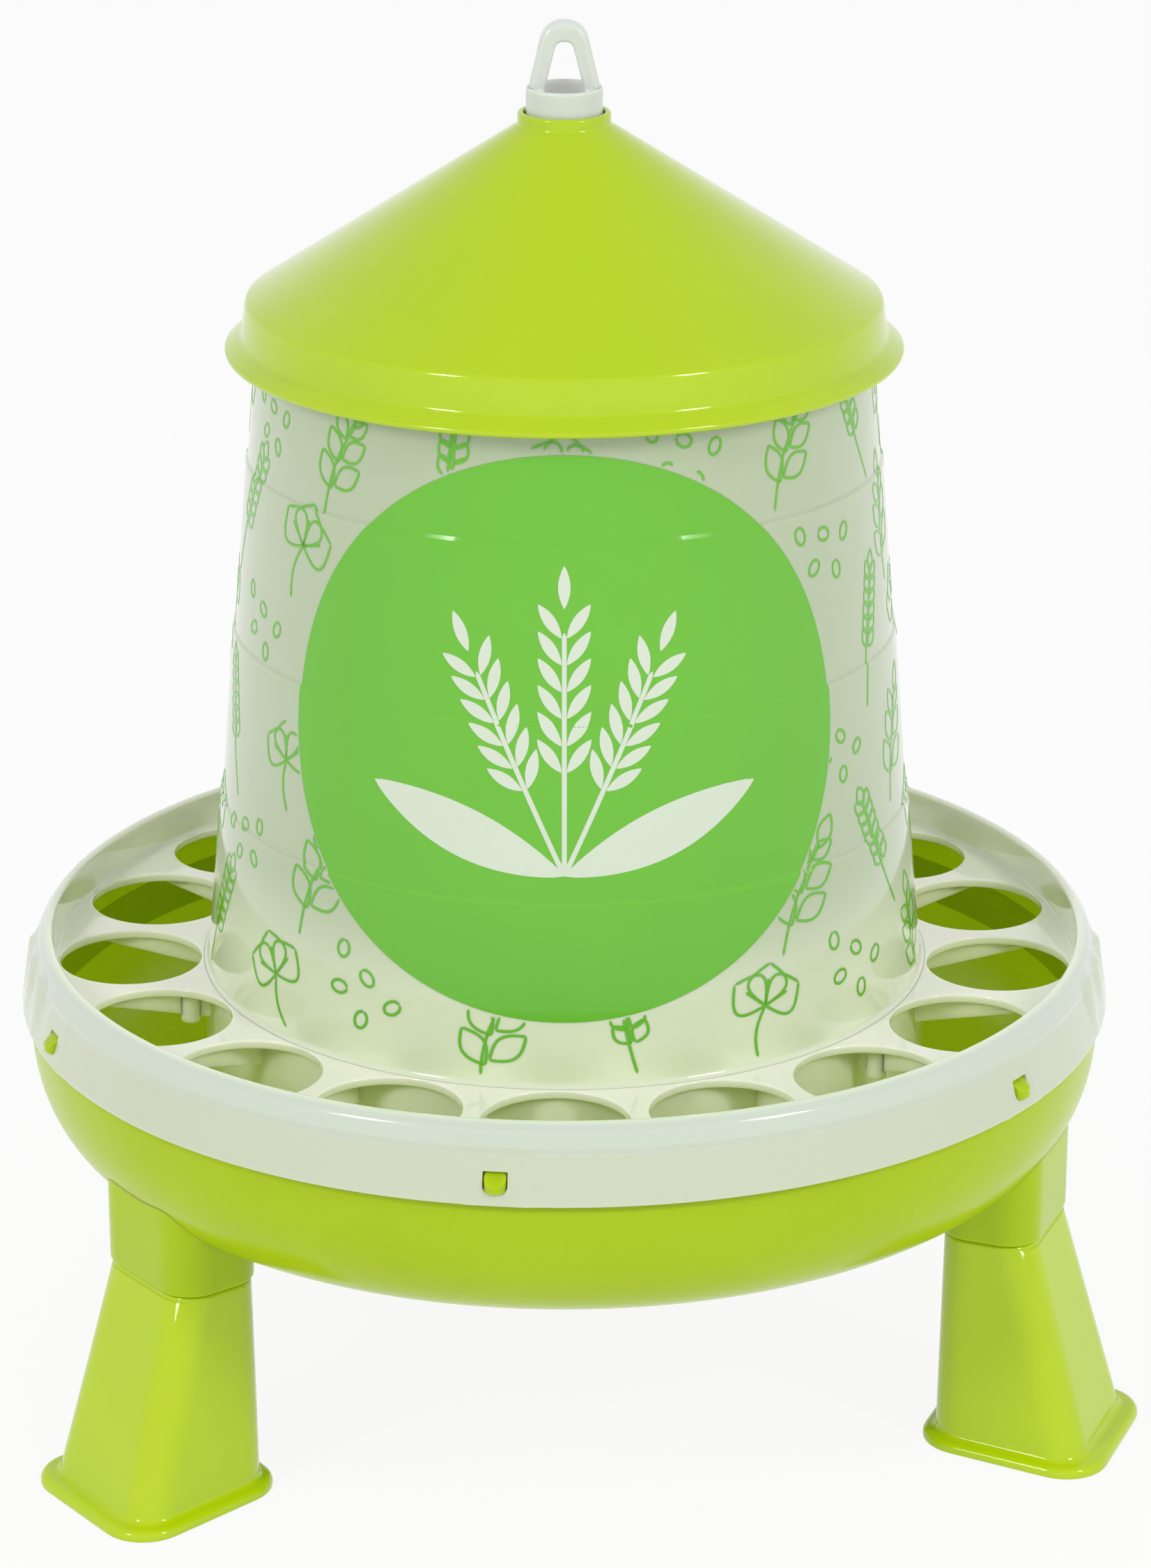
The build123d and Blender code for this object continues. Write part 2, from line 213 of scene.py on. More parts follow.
def smooth(mesh):
    """Turns all faces outwards and shades them smooth, except across sharp edges."""
    work = bmesh.new()
    work.from_mesh(mesh)
    bmesh.ops.recalc_face_normals(work, faces=work.faces)
    work.to_mesh(mesh)
    work.free()
    mesh.shade_smooth()
    mesh.set_sharp_from_angle(angle=SHARP)


def skin(name, grids, material):
    """One piece made of grids, each given as (points, wrap_rows, wrap_columns)."""
    clouds, faces, first = [], [], 0
    for points, wrap_rows, wrap_columns in grids:
        rows, columns = points.shape[:2]
        faces.append(grid_faces(rows, columns, wrap_rows, wrap_columns, first))
        clouds.append(points.reshape(-1, 3))
        first += rows * columns
    points, quads, triangles = weld(np.concatenate(clouds), np.concatenate(faces))
    mesh = bpy.data.meshes.new(name)
    mesh.from_pydata((points * MM).tolist(), [], quads.tolist() + triangles.tolist())
    smooth(mesh)
    piece = add_object(name, mesh)
    mesh.materials.append(material)
    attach(piece, "root")
    print(name, len(quads) * 2 + len(triangles), "triangles")
    return piece


def turned(outline, angles):
    """Outline of (r, z) points turned about the axis: x = r sin a, y = -r cos a."""
    a = angles[:, None]
    r, z = outline[None, :, 0], outline[None, :, 1]
    return np.stack([r * np.sin(a), -r * np.cos(a), z + 0 * a], -1)


def quarter(steps):
    """1 - sin t and 1 - cos t over a quarter turn: times a radius, they round a corner."""
    t = np.linspace(0, math.pi / 2, steps + 1)
    return 1 - np.sin(t), 1 - np.cos(t)


def round_angles(count=256):
    """Evenly spaced angles for a full turn, the last one left for the wrap."""
    return np.arange(count) * 2 * math.pi / count


def spun(x, y, angle):
    """Plane coordinates turned by an angle: x cos a - y sin a, x sin a + y cos a."""
    c, s = math.cos(angle), math.sin(angle)
    return x * c - y * s, x * s + y * c


def placed(points, azimuth):
    """Turns points made on the +X side to an azimuth, in degrees from the front."""
    x, y = spun(points[..., 0], points[..., 1], math.radians(azimuth - 90))
    return np.stack([x, y, points[..., 2]], -1)


def around(points, azimuths, wrap_columns=False):
    """The same grid at several azimuths, ready for skin."""
    return [(placed(points, azimuth), True, wrap_columns) for azimuth in azimuths]


# %% [markdown]
# Plastics
#
# All the mouldings are polypropylene from a polished mould: glossy, with a faint waviness and a gloss that
# varies a little. One helper gives every plastic that, and smaller ones add a node and fill its inputs.

# %% Make helpers for nodes and for glossy plastics
IOR = 1.49
COAT_ROUGHNESS = 0.03
RIPPLE_SCALE = 60.0
GLOSSIEST, DULLEST = 0.75, 1.3


def feed(item, inputs):
    """Fills a node's inputs: a socket is linked, and anything else becomes the input's value."""
    for name, value in inputs.items():
        if isinstance(value, bpy.types.NodeSocket):
            item.id_data.links.new(value, item.inputs[name])
        else:
            item.inputs[name].default_value = value


def add_node(tree, kind, output, inputs=None, **settings):
    """Adds a node with its settings, such as an operation, fills its inputs and gives an output."""
    item = tree.nodes.new("ShaderNode" + kind)
    for name, value in settings.items():
        setattr(item, name, value)
    feed(item, inputs or {})
    return item.outputs[output]


def mixed(tree, kind, share, a, b):
    """Goes from a to b by a share: colours if the kind is RGBA, values if it is FLOAT."""
    return add_node(tree, "Mix", "Result", {"Factor": share, "A": a, "B": b}, data_type=kind)


def plastic(name, colour, second, roughness, wave=0.02, scale=26.0, coat=0.0, specular=0.4):
    """Principled plastic whose colour drifts softly to a second one and whose gloss and level vary."""
    material = bpy.data.materials.new(name)
    material.use_nodes = True
    tree = material.node_tree
    place = add_node(tree, "TexCoord", "Object")
    drift = add_node(tree, "TexNoise", "Fac", {"Vector": place, "Scale": scale, "Detail": 2.0})
    ripple = add_node(tree, "TexNoise", "Fac", {"Vector": place, "Scale": RIPPLE_SCALE, "Detail": 1.0})
    low, high = roughness * GLOSSIEST, roughness * DULLEST
    feed(tree.nodes["Principled BSDF"], {
        "IOR": IOR,
        "Specular IOR Level": specular,
        "Coat Weight": coat,
        "Coat Roughness": COAT_ROUGHNESS,
        "Base Color": mixed(tree, "RGBA", drift, (*colour, 1), (*second, 1)),
        "Roughness": add_node(tree, "MapRange", "Result", {"Value": drift, "To Min": low, "To Max": high}),
        "Normal": add_node(tree, "Bump", "Normal", {"Strength": wave, "Distance": MM, "Height": ripple}),
    })
    print(name, "roughness about", roughness)
    return material


def milky(material, depth):
    """Lets light wander about depth millimetres through the plastic, so that thin walls glow."""
    feed(material.node_tree.nodes["Principled BSDF"], {
        "Subsurface Weight": 1.0,
        "Subsurface Radius": (1.0, 1.0, 0.9),
        "Subsurface Scale": depth * MM,
    })
    return material


# %% [markdown]
# The lid and the legs are the glossiest, and a thin clear coat sharpens the lamps in them. Tray, hopper and
# hanger let some light through. The tray's inside and the ribs are lit through the milky panel, more than a
# render shows, so they get brighter plastics of their own, which are painted light.

# %% Mix the plastics
lid_plastic = plastic("lid_plastic", (0.50, 0.68, 0.004), (0.46, 0.64, 0.003), 0.10, coat=0.18, specular=0.5)
leg_plastic = plastic("leg_plastic", (0.55, 0.72, 0.007), (0.50, 0.67, 0.004), 0.10, coat=0.15)
tray_plastic = milky(plastic(
    "tray_plastic", (0.495, 0.66, 0.006), (0.45, 0.615, 0.003), 0.22, wave=0.04, specular=0.3,
), 1.2)
# Painted light: lit_tray is brighter than the tray, as if lit through the milky panel.
lit_tray = plastic("lit_tray", (0.80, 1.0, 0.010), (0.76, 0.98, 0.008), 0.25, wave=0.04)
white_plastic = milky(plastic("white_plastic", (0.73, 0.775, 0.72), (0.69, 0.735, 0.67), 0.20), 1.5)
wall_plastic = milky(plastic(
    "wall_plastic", (0.86, 0.91, 0.73), (0.82, 0.87, 0.68), 0.09, scale=12.0, coat=0.6,
), 1.3)
# Painted light: the ribs' plastic is brighter than the wall's, as if lit through the milky panel.
rib_painted_glow = milky(plastic("rib_painted_glow", (0.96, 1.0, 0.74), (0.93, 0.98, 0.70), 0.30), 2.5)
print_ink = plastic("print_ink", (0.160, 0.55, 0.034), (0.146, 0.515, 0.029), 0.10, wave=0.0, coat=0.3)

# %% [markdown]
# Wall, panel and guard come from one mould, and the colours of their zones are painted light and shade. The
# wall gets painted shade higher up, the panel and the space under it get painted light from the tray, the
# guard gets painted shade, a darker, cooler grey, and is less polished, and its skirt is painted with some
# of the tray's green, as if seen through it. One material does them all: each zone is laid over the ones
# before it, by height or by distance from the axis. The hanger's cup gets painted light, a paler colour, in
# the same way.

# %% Tell the zones of a piece apart
# Painted light and shade: the upper wall darker, panel and underside brighter, guard greyer, skirt greener.
WALL_LIGHT_AND_SHADE = {
    "upper wall shade": ("height", 168.0, 214.0, (0.53, 0.615, 0.425)),
    "panel": ("off axis", 124.5, 127.5, (0.91, 1.0, 0.79)),
    "underside": ("height", 153.8, 151.5, (0.97, 1.0, 0.76)),
    "guard": ("off axis", 178.5, 181.2, (0.67, 0.735, 0.64)),
    "skirt": ("off axis", 183.8, 185.0, (0.66, 0.71, 0.555)),
}
GUARD_ROUGHNESS = 0.17
# Painted light: the inside of the hanger's cup gets a paler colour.
CUP_ZONE = (("off axis", 11.9, 11.1), ("height", 458.0, 457.2))
CUP_PAINTED_LIGHT = (0.98, 1.0, 0.96)


def rulers(tree):
    """Sockets that give a point's distance from the hopper's axis and its height."""
    place = add_node(tree, "TexCoord", "Object")
    flat = add_node(tree, "VectorMath", "Vector", {0: place, 1: (1, 1, 0)}, operation="MULTIPLY")
    return {
        "off axis": add_node(tree, "VectorMath", "Value", {0: flat}, operation="LENGTH"),
        "height": add_node(tree, "SeparateXYZ", "Z", {"Vector": place}),
    }


def zone(ruler, start, stop):
    """0 short of start and 1 past stop, in millimetres along a ruler, smooth between them."""
    limits = {"Value": ruler, "From Min": start * MM, "From Max": stop * MM}
    return add_node(ruler.id_data, "MapRange", "Result", limits, interpolation_type="SMOOTHSTEP")


def change(material, name, share, target):
    """Mixes what goes into one of the shader's inputs over to a target, by a share."""
    shader = material.node_tree.nodes["Principled BSDF"]
    before = shader.inputs[name].links[0].from_socket
    kind = "RGBA" if name == "Base Color" else "FLOAT"
    feed(shader, {name: mixed(material.node_tree, kind, share, before, target)})


def paint_wall_light_and_shade(material):
    """Lays each zone's painted light and shade over the wall's colour, and takes some gloss off the guard.
    """
    ruler = rulers(material.node_tree)
    for along, start, stop, colour in WALL_LIGHT_AND_SHADE.values():
        change(material, "Base Color", zone(ruler[along], start, stop), (*colour, 1))
    along, start, stop, _ = WALL_LIGHT_AND_SHADE["guard"]
    change(material, "Roughness", zone(ruler[along], start, stop), GUARD_ROUGHNESS)


def lit_cup(material):
    """Lays a paler colour, painted light, over what is near the axis and under the rim of the hanger's tube.
    """
    ruler = rulers(material.node_tree)
    near, below = (zone(ruler[along], start, stop) for along, start, stop in CUP_ZONE)
    both = add_node(material.node_tree, "Math", "Value", {0: near, 1: below}, operation="MULTIPLY")
    change(material, "Base Color", both, (*CUP_PAINTED_LIGHT, 1))


paint_wall_light_and_shade(wall_plastic)
lit_cup(white_plastic)
print("zones of the hopper:", ", ".join(WALL_LIGHT_AND_SHADE))

# %% [markdown]
# Lid
#
# A plain cone with a collar that lets the hanger through, a short skirt over the hopper's rim, and a brim
# that throws rain clear. It is one outline turned about the axis.

# %% Turn the lid
CONE_TOP = (15.5, COLLAR_Z - 4.1)
CONE_LOW = (106.6, COLLAR_Z - 62.6)
LID_SKIRT = (107.9, COLLAR_Z - 73.9)
BRIM_EDGE = 2.0
EAVE = 0.4


def lid_outline():
    """Cone, skirt and brim of even thickness."""
    slope = (CONE_TOP[1] - CONE_LOW[1]) / (CONE_LOW[0] - CONE_TOP[0])
    drop = WALL * (math.hypot(1, slope) - slope)
    bore = CONE_TOP[0] - WALL
    return rounded([
        (bore, COLLAR_Z, 0.6),
        (CONE_TOP[0], COLLAR_Z, 0.9),
        (*CONE_TOP, 1.2),
        (CONE_LOW[0] - EAVE, CONE_LOW[1] + EAVE * slope, 2.2),
        (*LID_SKIRT, 2.2),
        (BRIM_R + 0.1, BRIM_Z + BRIM_EDGE, 0.9),
        (BRIM_R - 0.6, BRIM_Z, 0.8),
        (LID_SKIRT[0] - WALL, LID_SKIRT[1] - 1.6, 2.0),
        (CONE_LOW[0] - WALL, CONE_LOW[1] - drop, 1.2),
        (bore, CONE_TOP[1] - drop, 0.5),
    ])


lid = skin("lid_shell", [(turned(lid_outline(), round_angles()), True, True)], lid_plastic)
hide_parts("lid")

# %% [markdown]
# Hopper and guard
#
# This moulding takes the most skill: a stepped cone, a flat panel with seventeen feeding holes, and the
# guard round it, all one skin. Round each hole, rays run from its edge to the border of its own slice of the
# panel. Wall and guard share the points on the border, so that everything welds.

# %% Lay out the panel
HOLES = 17
HOLE_R = 24.5
HOLE_RING_R = 151.0
HOLE_AZIMUTH = -1.1
PANEL_Z = 154.2
PANEL_T = 3.0
PANEL_IN_R = 125.6
PANEL_OUT_R = 175.9
LIP = 0.55
PITCH = 2 * math.pi / HOLES
SLICE_AZIMUTHS = [HOLE_AZIMUTH + k * math.degrees(PITCH) for k in range(HOLES)]
IN_STEPS = 14
OUT_STEPS = 26
SIDE_STEPS = 18


def slice_border():
    """Border of one slice as (r, a): inner arc, side, outer arc and side."""
    half = PITCH / 2
    inner = np.linspace(-half, half, IN_STEPS + 1)
    outer = np.linspace(half, -half, OUT_STEPS + 1)
    side = np.linspace(PANEL_IN_R, PANEL_OUT_R, SIDE_STEPS + 1)
    runs = ((PANEL_IN_R, inner), (side[1:], half), (PANEL_OUT_R, outer[1:]), (side[-2:0:-1], -half))
    return np.concatenate([np.stack(np.broadcast_arrays(r, a), 1) for r, a in runs])


def panel_slice():
    """One slice: each ray runs from the border over the lip, down the hole's wall and back underneath."""
    r, a = slice_border().T
    border = np.stack([r * np.cos(a) - HOLE_RING_R, r * np.sin(a)], 1)
    far = np.linalg.norm(border, axis=1)
    ray = border / far[:, None]
    inward, down = quarter(4)
    arc_out, arc_down = HOLE_R + LIP * inward, LIP * down
    blend = np.array([0, 0.4, 0.8])
    flat = far[:, None] + (HOLE_R + LIP - far[:, None]) * blend
    over = np.broadcast_to(arc_out, (len(far), len(arc_out)))
    distance = np.concatenate([flat, over, over[:, ::-1], flat[:, ::-1]], 1)
    level = np.r_[0 * blend, -arc_down, arc_down[::-1] - PANEL_T, 0 * blend - PANEL_T]
    return np.stack([
        HOLE_RING_R + ray[:, :1] * distance,
        ray[:, 1:] * distance,
        PANEL_Z + 0 * distance + level,
    ], -1)


def shared_angles(steps):
    """Angles of the points on all the slices' inner or outer arcs."""
    return math.radians(HOLE_AZIMUTH) + (np.arange(HOLES * steps) / steps - 0.5) * PITCH


print("panel of", HOLES, "slices,", len(slice_border()), "rays each")

# %% [markdown]
# The wall widens downwards in four sections. Each stands out a little below the one above, so that the
# moulding can leave its mould, and the edge of each step catches a thin line of light.

# %% Outline the hopper's wall
TOP_R = 102.0
DRAFT = 0.083
STEP = 0.75
STEP_HALF = 0.55
STEP_Z = (333.9, 275.2, 215.9)
BASE_R = 124.1


def section_radius(z, sections):
    """Outer radius of the wall at a height, below a number of steps."""
    return TOP_R + DRAFT * (HOPPER_RIM_Z - z) + STEP * sections


def wall_corners(inset, step_round):
    """Corners of the wall from the panel up to the rim, moved in by inset."""
    corners = []
    for i, z in reversed(list(enumerate(STEP_Z))):
        low, high = z - STEP_HALF, z + STEP_HALF
        corners.append((section_radius(low, i + 1) - inset, low, step_round))
        corners.append((section_radius(high, i) - inset, high, step_round))
    corners.append((TOP_R - inset, HOPPER_RIM_Z, 0.6))
    return corners


def hopper_outline():
    """Open outline: panel, wall, rim, inside of the wall, throat, and back to the panel."""
    outside = [(PANEL_IN_R, PANEL_Z, 0), (BASE_R, PANEL_Z, 1.8)] + wall_corners(0, 0.25)
    inside = wall_corners(WALL, 0.25)[::-1]
    throat = [
        (BASE_R - WALL, PANEL_Z, 2.0),
        (PANEL_IN_R - WALL, THROAT_Z, 0.8),
        (PANEL_IN_R, THROAT_Z, 0.8),
        (PANEL_IN_R - 1.0, PANEL_Z - PANEL_T, 0.6),
        (PANEL_IN_R, PANEL_Z - PANEL_T, 0),
    ]
    return rounded(outside + inside + throat, closed=False, steps=4)


def wall_radius(z):
    """Radius of the wall's outside at a height, steps and all."""
    radii, heights, _ = np.array([(BASE_R, PANEL_Z, 0)] + wall_corners(0, 0)).T
    return np.interp(z, heights, radii)


print("hopper wall radius at mid height", round(float(wall_radius(260)), 1))

# %% [markdown]
# The guard is a channel turned upside down: a low wall beside the holes, a rounded bead that birds' necks
# rest on, and a skirt that flares out over the tray. Left and right it has a grip of three upright lobes,
# which die away towards the bottom. Where a tab comes through, it has a flat pad.

# %% Outline the guard, its grips and its pads
GUARD_IN_R = 177.8
GUARD_TOP_Z = 167.0
BEAD_DROP = 2.6
SKIRT_LEAN = 0.271
SKIRT_Z = 141.3
CREASE_Z = 158.0
GUARD_SPACING = 2.5
LOBES = 3
LOBE_R = 14.0
LOBE_PITCH = math.radians(6.2)
LOBE_LEAN = 0.15
LOBE_TOP_Z = 160.0
LOBE_FADE = 0.3
GRIP_AZIMUTH = math.radians(80.7)
PAD_HALF = 11.0
PAD_TOP_Z = GUARD_TOP_Z - 5
PAD_PROUD = 0.12
WINDOWS = 6
WINDOW_AZIMUTH = -6.7
WINDOW_AZIMUTHS = [WINDOW_AZIMUTH + k * 360 / WINDOWS for k in range(WINDOWS)]


def skirt_radius(z):
    """Outer radius of the plain skirt at a height."""
    return SKIRT_R - SKIRT_LEAN * (z - SKIRT_Z)


def guard_outline():
    """Open outline: panel, inner wall, bead, crease, skirt, and back inside to the panel."""
    bead_z = GUARD_TOP_Z - BEAD_DROP
    corners = [
        (PANEL_OUT_R, PANEL_Z, 0),
        (PANEL_OUT_R + 1.3, PANEL_Z, 1.2),
        (GUARD_IN_R, GUARD_TOP_Z, 1.2),
        (GUARD_IN_R + 2.4, GUARD_TOP_Z, 1.6),
        (GUARD_IN_R + 4.6, bead_z, 3.0),
        (skirt_radius(CREASE_Z + 2) + 0.3, CREASE_Z + 2, 1.6),
        (skirt_radius(CREASE_Z) - 0.2, CREASE_Z, 1.4),
        (SKIRT_R, SKIRT_Z, 0.7),
        (SKIRT_R - WALL, SKIRT_Z, 0.5),
        (skirt_radius(GUARD_TOP_Z - 0.6) - WALL - 0.8, bead_z, 2.4),
        (GUARD_IN_R + WALL, bead_z + 0.4, 0.8),
        (GUARD_IN_R + WALL - 0.6, PANEL_Z - PANEL_T, 1.5),
        (PANEL_OUT_R, PANEL_Z - PANEL_T, 0),
    ]
    return divided(rounded(corners, closed=False), GUARD_SPACING)


def polar(points):
    """Distance from the axis, angle from the front, and height."""
    x, y, z = np.moveaxis(points, -1, 0)
    return np.hypot(x, y), np.arctan2(x, -y), z


def with_radius(points, radius):
    """Points moved straight away from the axis, or towards it, to new radii."""
    share = radius / polar(points)[0]
    return points * np.stack([share, share, np.ones_like(share)], -1)


def on_skirt(r, z):
    """True outside the skirt, false on its inner side."""
    return r > skirt_radius(z) - 0.3 * WALL


def with_grips(points):
    """Moves the outside of the skirt out to the lobes where these stand proud of it.

    A lobe is part of an upright cylinder of radius LOBE_R, so beside its middle it falls back by
    LOBE_R - sqrt(LOBE_R^2 - d^2), where d is the distance round the skirt.
    """
    r, a, z = polar(points)
    beside = np.abs(np.abs(a) - GRIP_AZIMUTH)
    from_lobe = (beside / LOBE_PITCH + 0.5) % 1 - 0.5
    d = np.clip(np.abs(from_lobe) * LOBE_PITCH * r, 0, LOBE_R * 0.98)
    fall = LOBE_R - np.sqrt(LOBE_R**2 - d**2)
    crown = SKIRT_R - LOBE_LEAN * (z - SKIRT_Z) - LOBE_FADE * np.clip(z - LOBE_TOP_Z, 0, None) ** 2
    on_grip = (beside < LOBES * LOBE_PITCH / 2) & on_skirt(r, z) & (z > SKIRT_Z + 0.4)
    return with_radius(points, np.where(on_grip, np.maximum(r, crown - fall), r))


def with_pads(points):
    """Flattens the skirt round each window: a plane's radius is R / cos(angle off the middle)."""
    r, a, z = polar(points)
    spacing = 2 * math.pi / WINDOWS
    from_window = (a - math.radians(WINDOW_AZIMUTH) + spacing / 2) % spacing - spacing / 2
    on_pad = (np.abs(from_window) * r < PAD_HALF) & on_skirt(r, z) & (z < PAD_TOP_Z)
    return with_radius(points, np.where(on_pad, (r + PAD_PROUD) / np.cos(from_window), r))


print("grip lobes", LOBES, "a side, guard outline of", len(guard_outline()), "points")

# %% [markdown]
# A boolean cuts the windows for the tabs with six rounded prisms, and its result replaces the mesh at once.

# %% Weld hopper, panel and guard, and cut the windows
WINDOW_HALF = 4.0
WINDOW_Z = (145.2, 152.2)
CUT_REACH = 8.0


def window_prism():
    """Grid of a cutter: a rounded rectangle carried straight out through the skirt."""
    low, top = WINDOW_Z
    edge = rounded([
        (-WINDOW_HALF, low, 2.5), (WINDOW_HALF, low, 2.5), (WINDOW_HALF, top, 0.4), (-WINDOW_HALF, top, 0.4),
    ])
    middle = edge.mean(0)
    reach = SKIRT_R + CUT_REACH * np.array([-1, -1, 1, 1])
    size = np.array([0, 1, 1, 0])
    across, up = (middle[i] + (edge[:, None, i] - middle[i]) * size for i in (0, 1))
    return np.stack([reach + 0 * across, across, up], -1)


def cut(piece, grids):
    """Takes the volume inside the grids out of a piece, for good."""
    cutter = skin("cutter", grids, wall_plastic)
    modifier = piece.modifiers.new("cut", "BOOLEAN")
    modifier.object = cutter
    modifier.solver = "EXACT"
    graph = bpy.context.evaluated_depsgraph_get()
    mesh = bpy.data.meshes.new_from_object(piece.evaluated_get(graph))
    piece.modifiers.clear()
    piece.data = mesh
    bpy.data.objects.remove(cutter)
    smooth(mesh)
    print(piece.name, "after cutting:", len(mesh.polygons), "faces")


hopper_grid = turned(hopper_outline(), shared_angles(IN_STEPS))
guard_grid = with_pads(with_grips(turned(guard_outline(), shared_angles(OUT_STEPS))))
hopper = skin(
    "hopper_and_guard",
    [(hopper_grid, True, False), (guard_grid, True, False)] + around(panel_slice(), SLICE_AZIMUTHS),
    wall_plastic,
)
cut(hopper, around(window_prism(), WINDOW_AZIMUTHS))
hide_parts("guarded_hopper")

# %% [markdown]
# Ribs and pegs
#
# A thin rib between each pair of holes keeps the panel flat, and a few ribs carry a short peg. A rib is a
# flat plate with rounded edges, made from one outline.

# %% Stand ribs and pegs under the panel
UNDER_Z = PANEL_Z - PANEL_T - 0.05
RIB_T = 1.8
RIB_IN_R = PANEL_IN_R + 0.3
RIB_OUT_R = 172.5
RIB_LOW_Z = 140.8
PEG_AT_R = 132.9
PEG_R = 3.3
PEG_LOW_Z = 140.0
PEG_PLACES = (-4, 2, 8)


def plate(outline, half, edge):
    """Plate with rounded edges, as a grid over a closed outline.

    Along the outline's normals the points move in by edge * (1 - cos t) while the level rises by
    edge * sin t. Both faces close on the outline's middle.
    """
    along = np.roll(outline, -1, 0) - np.roll(outline, 1, 0)
    along /= np.linalg.norm(along, axis=1)[:, None]
    normal = np.stack([along[:, 1], -along[:, 0]], 1)
    middle = outline.mean(0)
    if ((outline - middle) * normal).sum() < 0:
        normal = -normal
    down, inward = quarter(3)
    inward, level = edge * inward, half - edge * down
    inward, level = np.r_[inward[::-1], inward], np.r_[level[::-1], -level]
    ring = outline[:, None] - normal[:, None] * inward[:, None]
    ends = np.broadcast_to(middle, ring[:, :1].shape)
    ring = np.concatenate([ends, ring, ends], 1)
    level = np.r_[level[:1], level, level[-1:]]
    return np.stack([ring[..., 0], ring[..., 1], level + 0 * ring[..., 0]], -1)


def upright(points):
    """Stands a plate up: its outline lies in r and z, and its level runs sideways."""
    return points[..., [0, 2, 1]]


rib_outline = rounded([
    (RIB_IN_R, UNDER_Z, 0.6),
    (RIB_OUT_R, UNDER_Z, 0.05),
    (RIB_OUT_R - 0.5, UNDER_Z - 0.7, 0.1),
    (RIB_IN_R, RIB_LOW_Z, 1.0),
])
peg_outline = rounded([
    (0, UNDER_Z, 0), (PEG_R, UNDER_Z, 0.2), (PEG_R, PEG_LOW_Z, 0.7), (0, PEG_LOW_Z, 0),
], closed=False)
rib = upright(plate(rib_outline, RIB_T / 2, 0.35))
peg = turned(peg_outline, round_angles(40)) + np.array([PEG_AT_R, 0, 0])
between = [HOLE_AZIMUTH + (k + 0.5) * math.degrees(PITCH) for k in range(HOLES)]
under_panel = around(rib, between) + around(peg, [between[k] for k in PEG_PLACES])
# The ribs' brighter plastic is painted light.
skin("ribs_and_pegs", under_panel, rib_painted_glow)

# %% [markdown]
# Ledges in the mouth
#
# Two pairs of ledges hold the ends of the hanger's crosspiece. The lid hides them, but they carry the whole
# feeder when it hangs.

# %% Add the ledges
ARM_Z = 379.6
ARM_H = 15.0
LEDGE_OUT = 10.0
LEDGE_HALF = 10.0
LEDGE_T = 4.0


def ledge(low):
    """Plate from inside the wall into the mouth."""
    high = low + LEDGE_T
    r = float(wall_radius((low + high) / 2)) - WALL / 2
    box = rounded([(r - LEDGE_OUT, low, 0.8), (r, low, 0.3), (r, high, 0.3), (r - LEDGE_OUT, high, 0.8)])
    return upright(plate(box, LEDGE_HALF, 0.5))


LEDGE_LEVELS = (ARM_Z + FIT, ARM_Z - ARM_H - FIT - LEDGE_T)
ledge_grids = [(placed(ledge(low), side), True, False) for side in (-90, 90) for low in LEDGE_LEVELS]
skin("mouth_ledges", ledge_grids, wall_plastic)

# %% [markdown]
# Tray
#
# The tray's wall is a superellipse, fuller than a circle, so that the trough stays deep up to the rim. A
# low cone in the middle sends the feed outwards.

# %% Outline the tray
BOWL_FLAT_R = 139.0
BOWL_Z = 89.6
BOWL_R = 186.1
BOWL_EDGE_Z = 138.2
BOWL_POWER = 2.49
TRAY_RIM_R = 183.3
SPREADER_R = 92.0
SPREADER_TOP_R = 12.0
SPREADER_TOP_Z = 124.0


def bowl_curve(inset, count=40):
    """Points (r, z) of the superellipse, moved in by inset, from the edge down to the flat."""
    t = np.linspace(0, math.pi / 2, count)
    across = BOWL_R - BOWL_FLAT_R - inset
    down = BOWL_EDGE_Z - BOWL_Z - inset
    return np.stack([
        BOWL_FLAT_R + across * np.cos(t) ** (2 / BOWL_POWER),
        BOWL_EDGE_Z - down * np.sin(t) ** (2 / BOWL_POWER),
    ], 1)


def bowl_under(r):
    """Height of the bowl's underside at a radius, from the same superellipse."""
    share = np.clip((r - BOWL_FLAT_R) / (BOWL_R - BOWL_FLAT_R), 0, 1)
    return BOWL_EDGE_Z - (BOWL_EDGE_Z - BOWL_Z) * (1 - share**BOWL_POWER) ** (1 / BOWL_POWER)


def cone_line(drop):
    """Spreader and flat from the axis to the bowl's wall, lowered by drop."""
    top, flat = SPREADER_TOP_Z - drop, BOWL_Z + TRAY_WALL - drop
    return rounded([
        (0, top, 0), (SPREADER_TOP_R, top, 8.0), (SPREADER_R, flat, 6.0), (BOWL_FLAT_R, flat, 0),
    ], closed=False)


def tray_outline():
    """Open outline: out over cone and bowl, round the rim, and back underneath."""
    rim = rounded([
        (BOWL_R - TRAY_WALL, BOWL_EDGE_Z, 0), (TRAY_RIM_R - TRAY_WALL, TRAY_RIM_Z, 0.8),
        (TRAY_RIM_R, TRAY_RIM_Z, 0.8), (BOWL_R, BOWL_EDGE_Z, 0),
    ], closed=False)
    above = [cone_line(0)[:-1], bowl_curve(TRAY_WALL)[::-1][:-1]]
    below = [bowl_curve(0)[1:], cone_line(TRAY_WALL)[::-1][1:]]
    return np.concatenate(above + [rim] + below)


print("tray outline has", len(tray_outline()), "points")

# %% [markdown]
# A socket is a tube with the leg's section. A snap tab is a small nose that slopes down outwards, so that
# the guard slides over it and catches.

